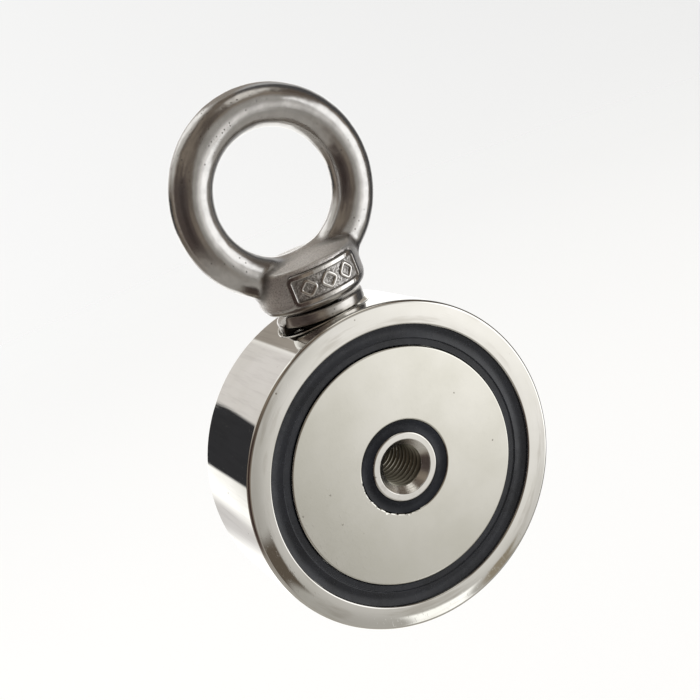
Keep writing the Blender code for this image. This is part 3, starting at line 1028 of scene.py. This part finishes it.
def make_panel(word, facing):
    """A thin bent plate that carries the raised border and the stippled ground."""
    across, up = 210, 88
    count = across * up
    reach = PANEL_HALF_WIDTH + PANEL_MARGIN
    s, z = (grid.ravel() for grid in np.meshgrid(
        np.linspace(-reach, reach, across),
        np.linspace(PANEL_LOW - PANEL_MARGIN, PANEL_HIGH + PANEL_MARGIN, up)))
    edge = edge_of_panel(s, z)
    border = ease(0.00002, -0.00016, edge) * ease(-0.00100, -0.00078, edge)
    skirt = ease(-0.00004, 0.00034, edge)
    ground = ease(-0.00080, -0.00100, edge)
    stipple = np.array([
        noise.noise(Vector((a * 2600.0, b * 2600.0, facing * 3.0)))
        + 0.6 * noise.noise(Vector((a * 5200.0, b * 5200.0, 7.0)))
        for a, b in zip(s, z)])
    r = PANEL_GROUND + (PANEL_PROUD - PANEL_GROUND) * border
    r = np.where((border < 1.0) & (edge > -0.0005), PANEL_PROUD, r)
    r += ground * stipple * 0.00007 + border * stipple * 0.000012
    floor = np.where(z > -0.0160, 0.0101, 0.0107)
    r = r * (1.0 - skirt) + floor * skirt
    angle = facing + s / COLLAR_RADIUS
    sheets = [np.stack([rr * np.cos(angle), rr * np.sin(angle), z], 1) for rr in (r, PANEL_BACK)]
    faces = []
    for j in range(up - 1):
        for i in range(across - 1):
            a = j * across + i
            outside = (a, a + 1, a + 1 + across, a + across)
            faces += [outside, tuple(count + b for b in reversed(outside))]
    rim = list(range(across)) + [j * across + across - 1 for j in range(1, up)]
    rim += [(up - 1) * across + i for i in range(across - 2, -1, -1)]
    rim += [j * across for j in range(up - 2, 0, -1)]
    faces += [(b, a, count + a, count + b) for a, b in zip(rim, rim[1:] + rim[:1])]
    panel = mesh_object(f"{word}_collar_panel", np.vstack(sheets), faces)
    merge_and_face_out(panel.data, 1e-8)
    # Painted shade: the stippled ground's low spots, the skirt and a thin line just outside the
    # raised border are marked for darkening.
    wear_and_shade = np.maximum(ground * (0.55 - stipple), ease(0.05, 0.4, skirt))
    wear_and_shade = np.maximum(wear_and_shade, 1.0 - ease(0.0, 0.00022, np.abs(edge + 0.00098)))
    back = np.zeros(count)
    # The raised border's top is marked for a lightened colour, partly real rubbing, partly painted
    # highlight.
    add_values(
        panel.data, corner=np.concatenate([np.clip(wear_and_shade, 0.0, 1.0), back]),
        polish=np.concatenate([ease(0.6, 0.95, border), back]),
        grain=np.concatenate([ground * 0.45, back]))
    paint(panel.data, BOLT_STEEL)
    return panel


# Motif tree: a row of raised diamond outlines bent round the collar

def make_motif_tree():
    tree, given = geometry_tree(
        "Diamond row",
        ["Spacing", "Width", "Height", "Stroke", "Collar radius", "Middle", "Facing"], ["Count"])
    half, stroke, spacing = given["Height"] * 0.5, given["Stroke"], given["Spacing"]
    kite = made(tree, "GeometryNodeCurvePrimitiveQuadrilateral", {
        "Width": given["Width"], "Bottom Height": half, "Top Height": half}, mode="KITE")
    soft = made(tree, "GeometryNodeFilletCurve", {
        "Curve": kite, "Count": 5, "Radius": stroke * 0.6}, mode="POLY")
    dense = made(tree, "GeometryNodeResampleCurve", {
        "Curve": soft, "Length": stroke * 0.45}, mode="LENGTH")
    diamond = swept(dense, circle_curve(stroke * 0.5, 12))
    row = made(tree, "GeometryNodeMeshLine", {
        "Count": given["Count"], "Offset": joined(tree, spacing),
        "Start Location": joined(tree, (given["Count"] - 1.0) * -0.5 * spacing)})
    placed = made(tree, "GeometryNodeInstanceOnPoints", {"Points": row, "Instance": diamond})
    real = made(tree, "GeometryNodeRealizeInstances", {0: placed})
    x, y, z = parted(made(tree, "GeometryNodeInputPosition"))
    angle = x / given["Collar radius"] + given["Facing"]
    bent = round_z(angle, z * 0.75 + given["Collar radius"], y + given["Middle"])
    return finish_tree(tree, moved(real, bent), given["Material"])


MOTIF_TREE = make_motif_tree()
PANEL_FACINGS = {"front": -math.pi / 2.0, "back": math.pi / 2.0}
panels = [make_panel(word, facing) for word, facing in PANEL_FACINGS.items()]
for word, facing in PANEL_FACINGS.items():
    motif = grown(f"{word}_panel_diamonds", MOTIF_TREE, {
        "Count": 3, "Spacing": 0.0043, "Width": 0.0034, "Height": 0.0033, "Stroke": 0.00080,
        "Collar radius": COLLAR_RADIUS, "Middle": PANEL_MIDDLE, "Facing": facing,
        "Material": BOLT_STEEL})
    merge_and_face_out(motif.data, 1e-7)
    motif.data.shade_smooth()
    # Painted shade at the foot of each stroke; a lightened top on each stroke, partly real rubbing,
    # partly painted highlight.
    rise = radius_in(vertex_array(motif.data)) - PANEL_GROUND
    add_values(
        motif.data, corner=1.0 - ease(0.00002, 0.00020, rise), polish=ease(0.00018, 0.00036, rise))
    panels.append(motif)


# ---------------------------------------------------------------- spring washer

def make_washer_tree():
    tree, given = geometry_tree(
        "Spring washer", ["Radius", "Low end", "Rise", "Start angle", "Sweep"], ["Steps"], True)
    share = made(tree, "GeometryNodeInputIndex") / given["Steps"]
    path = wound_curve(
        given["Steps"] + 1.0, share * given["Sweep"] + given["Start angle"], given["Radius"],
        (1.0 - share) * given["Rise"] + given["Low end"])
    wire = swept(path, edges_to_curve(given["Geometry"]), Fill_Caps=True)
    return finish_tree(tree, wire, given["Material"])


def make_washer():
    """Left-hand split washer of square wire with rounded edges and slanting cut ends."""
    radius = (WASHER_BORE + WASHER_RADIUS) / 2.0
    half_w, half_t = (WASHER_RADIUS - WASHER_BORE) / 2.0, WASHER_THICKNESS / 2.0
    section = []
    for start, x, y in ((0, 1, 1), (90, -1, 1), (180, -1, -1), (270, 1, -1)):
        section += arc(
            x * (half_w - WASHER_EDGE), y * (half_t - WASHER_EDGE), WASHER_EDGE,
            start, start + 90, 6)
    low_z = SEAT_Z + GAP + half_t
    sweep = 2.0 * math.pi - WASHER_SPLIT
    start_angle = WASHER_SPLIT_ANGLE + WASHER_SPLIT / 2.0
    washer = grown("split_washer", make_washer_tree(), {
        "Radius": radius, "Low end": low_z, "Rise": WASHER_RISE, "Start angle": start_angle,
        "Sweep": sweep, "Steps": 176, "Material": WASHER_STEEL},
        loop_mesh("washer_section", section))
    mesh = washer.data
    p = vertex_array(mesh)
    a = np.arctan2(p[:, 1], p[:, 0])
    way = np.mod(a - start_angle + 0.05, 2.0 * math.pi) - 0.05
    middle = low_z + WASHER_RISE * (1.0 - way / sweep)
    lean = a + (p[:, 2] - middle) * WASHER_LEAN / radius
    r = radius_in(p)
    p[:, 0], p[:, 1] = r * np.cos(lean), r * np.sin(lean)
    set_vertices(mesh, p)
    merge_and_face_out(mesh, 1e-7)
    mesh.shade_smooth()
    mesh.set_sharp_from_angle(angle=math.radians(50.0))
    # Painted shade: darker towards the two cut ends, in the split.
    add_values(mesh, corner=1.0 - ease(0.0, 0.12, np.minimum(way, sweep - way)))
    return washer


split_washer = make_washer()


# ---------------------------------------------------------------- riding, glue paint, stand-ins

for piece in (eyebolt_casting, shank_core, shank_thread, *panels):
    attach(piece, "eyebolt")
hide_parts("eyebolt")

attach(split_washer, "spring_washer")
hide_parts("spring_washer")

for piece in (steel_pot, hub_thread, side_thread, seat_lip):
    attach(piece, "magnet")
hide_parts("steel_pot")

for word, (magnet, outer_ring, inner_ring) in rings.items():
    for piece, node, slot in (
        (magnet, f"{word}_magnet", "nickel_plated_magnet"),
        (outer_ring, f"{word}_outer_potting_ring", "black_epoxy"),
        (inner_ring, f"{word}_inner_potting_ring", "black_epoxy"),
    ):
        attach(piece, "magnet")
        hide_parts(node)
    paint(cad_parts[f"{word}_magnet_glue"].data, GLUE)


# ---------------------------------------------------------------- stage and light

def direction(azimuth, elevation):
    a, e = math.radians(azimuth), math.radians(elevation)
    return Vector((math.sin(a) * math.cos(e), math.cos(a) * math.cos(e), math.sin(e)))


def make_floor():
    """Pale paper under the part, curving up and thinning out to the plain backdrop far away."""
    material, shader, place = new_material("floor_paper")
    paper = blend(noise_value(place, 1.6, 3.0), (0.90, 0.895, 0.885), (0.88, 0.875, 0.868))
    feed(shader["Base Color"], paper)
    feed(shader["Emission Color"], paper)
    feed(shader["Alpha"], ramp(length_of(place), 0.45, 2.2, 1.0, 0.0))
    shader["Roughness"].default_value = 0.9
    shader["Specular IOR Level"].default_value = 0.0
    shader["Emission Strength"].default_value = 0.15
    verts, faces = lathe([
        (0.02, FLOOR_Z), (1.4, FLOOR_Z), (1.8, -0.25), (2.1, -0.08), (2.3, 0.25), (2.4, 1.7)], 96)
    floor = mesh_object("floor", verts, [tuple(range(96))] + faces)
    paint(floor.data, material)
    floor.visible_glossy = False


# Panels: azimuth, elevation, half width, half height, softness, colour
TENT_PANELS = (
    (-28.0, 48.0, 34.0, 26.0, 20.0, (0.72, 0.70, 0.66)),
    (128.0, 62.0, 30.0, 13.0, 12.0, (0.95, 0.92, 0.86)),
    (5.0, -8.0, 30.0, 72.0, 13.0, (1.38, 1.37, 1.34)),
    (-12.0, 17.5, 14.0, 9.0, 6.0, (0.74, 0.71, 0.69)),
    (22.0, 38.0, 20.5, 26.0, 1.0, (0.36, 0.325, 0.29)),
    (-12.0, -21.5, 7.0, 4.5, 6.0, (0.68, 0.66, 0.65)),
    (162.0, -8.0, 24.0, 40.0, 14.0, (0.40, 0.385, 0.36)),
    (137.0, -15.0, 26.0, 13.0, 22.0, (1.12, 1.10, 1.075)),
    (126.0, -8.0, 19.0, 26.0, 9.0, (1.6, 1.6, 1.6)),
    (172.0, -26.5, 4.4, 1.8, 1.4, (0.11, 0.09, 0.07)),
    (160.5, -33.5, 2.6, 1.8, 1.5, (1.3, 1.3, 1.28)),
    (155.0, -32.5, 1.6, 1.6, 1.2, (0.30, 0.26, 0.20)),
    (46.0, 0.0, 10.0, 60.0, 8.0, (0.55, 0.55, 0.55)),
    (74.0, 5.0, 18.0, 70.0, 6.0, (0.075, 0.073, 0.075)),
    (-66.0, 5.0, 3.0, 40.0, 4.0, (0.42, 0.37, 0.33)),
    (-108.0, 2.0, 38.0, 28.0, 12.0, (0.075, 0.054, 0.046)),
    (-118.0, 4.0, 12.0, 22.0, 6.0, (0.035, 0.022, 0.019)),
    (-31.0, 1.4, 12.8, 9.4, 1.2, (0.033, 0.033, 0.036)),
)


def make_tent():
    """The surroundings that polished faces mirror: a warm dim room with bright and dark panels."""
    material = bpy.data.materials.new("tent_cloth")
    material.use_nodes = True
    tree = material.node_tree
    tree.nodes.remove(tree.nodes["Principled BSDF"])
    place = made(tree, "ShaderNodeTexCoord", output="Object")
    unit = made(tree, "ShaderNodeVectorMath", {0: place}, operation="NORMALIZE")
    x, y, z = parted(unit)
    azimuth = calc("DEGREES", calc("ARCTAN2", x, y))
    elevation = calc("DEGREES", calc("ARCSINE", z))
    clutter = ramp(noise_value(unit, 3.2, 3.0, 0.55), 0.38, 0.64)
    colour = blend(clutter, (0.085, 0.064, 0.050), (0.26, 0.215, 0.17))
    colour = blend(ramp(elevation, -8.0, -50.0), colour, (0.44, 0.42, 0.39))
    for centre, rise, wide, tall, soft, shade in TENT_PANELS:
        panel = use_group(TENT_PANEL, {
            "Azimuth": azimuth, "Elevation": elevation, "Centre azimuth": centre,
            "Centre elevation": rise, "Half width": wide, "Half height": tall, "Softness": soft})
        colour = blend(panel["Mask"], colour, shade)
    glow = made(tree, "ShaderNodeEmission", {"Color": colour})
    feed(tree.nodes["Material Output"].inputs["Surface"], glow)
    material.cycles.emission_sampling = "NONE"

    shape = bmesh.new()
    bmesh.ops.create_icosphere(shape, subdivisions=4, radius=TENT_RADIUS)
    bmesh.ops.reverse_faces(shape, faces=shape.faces)
    mesh = bpy.data.meshes.new("light_tent")
    shape.to_mesh(mesh)
    shape.free()
    paint(mesh, material)
    tent = link(bpy.data.objects.new("light_tent", mesh))
    for ray in ("camera", "diffuse", "shadow", "transmission", "volume_scatter"):
        setattr(tent, f"visible_{ray}", False)


def make_world():
    """A pale backdrop, slightly darker towards the upper right."""
    world = bpy.data.worlds.new("studio")
    world.use_nodes = True
    tree = world.node_tree
    back = tree.nodes["Background"].inputs
    place = made(tree, "ShaderNodeTexCoord", output="Generated")
    slope = made(tree, "ShaderNodeVectorMath", {
        0: place, 1: (0.75, 0.0, 0.5)}, "Value", operation="DOT_PRODUCT")
    feed(back["Strength"], slope * -0.25 + 0.955)
    back["Color"].default_value = (1.0, 0.999, 0.993, 1.0)
    bpy.context.scene.world = world


def make_lamp():
    data = bpy.data.lights.new("soft_key", "AREA")
    data.shape = "DISK"
    data.size = 0.7
    data.energy = 2.0
    data.color = (1.0, 0.99, 0.97)
    lamp = link(bpy.data.objects.new("soft_key", data))
    away = direction(-60.0, 60.0)
    lamp.location = Vector((0.0, 0.0, -0.04)) + away
    lamp.rotation_mode = "QUATERNION"
    lamp.rotation_quaternion = (-away).to_track_quat("-Z", "Y")
    lamp.visible_camera = False
    lamp.visible_glossy = False


make_floor()
make_tent()
make_world()
make_lamp()
bpy.context.scene.view_settings.view_transform = "Standard"
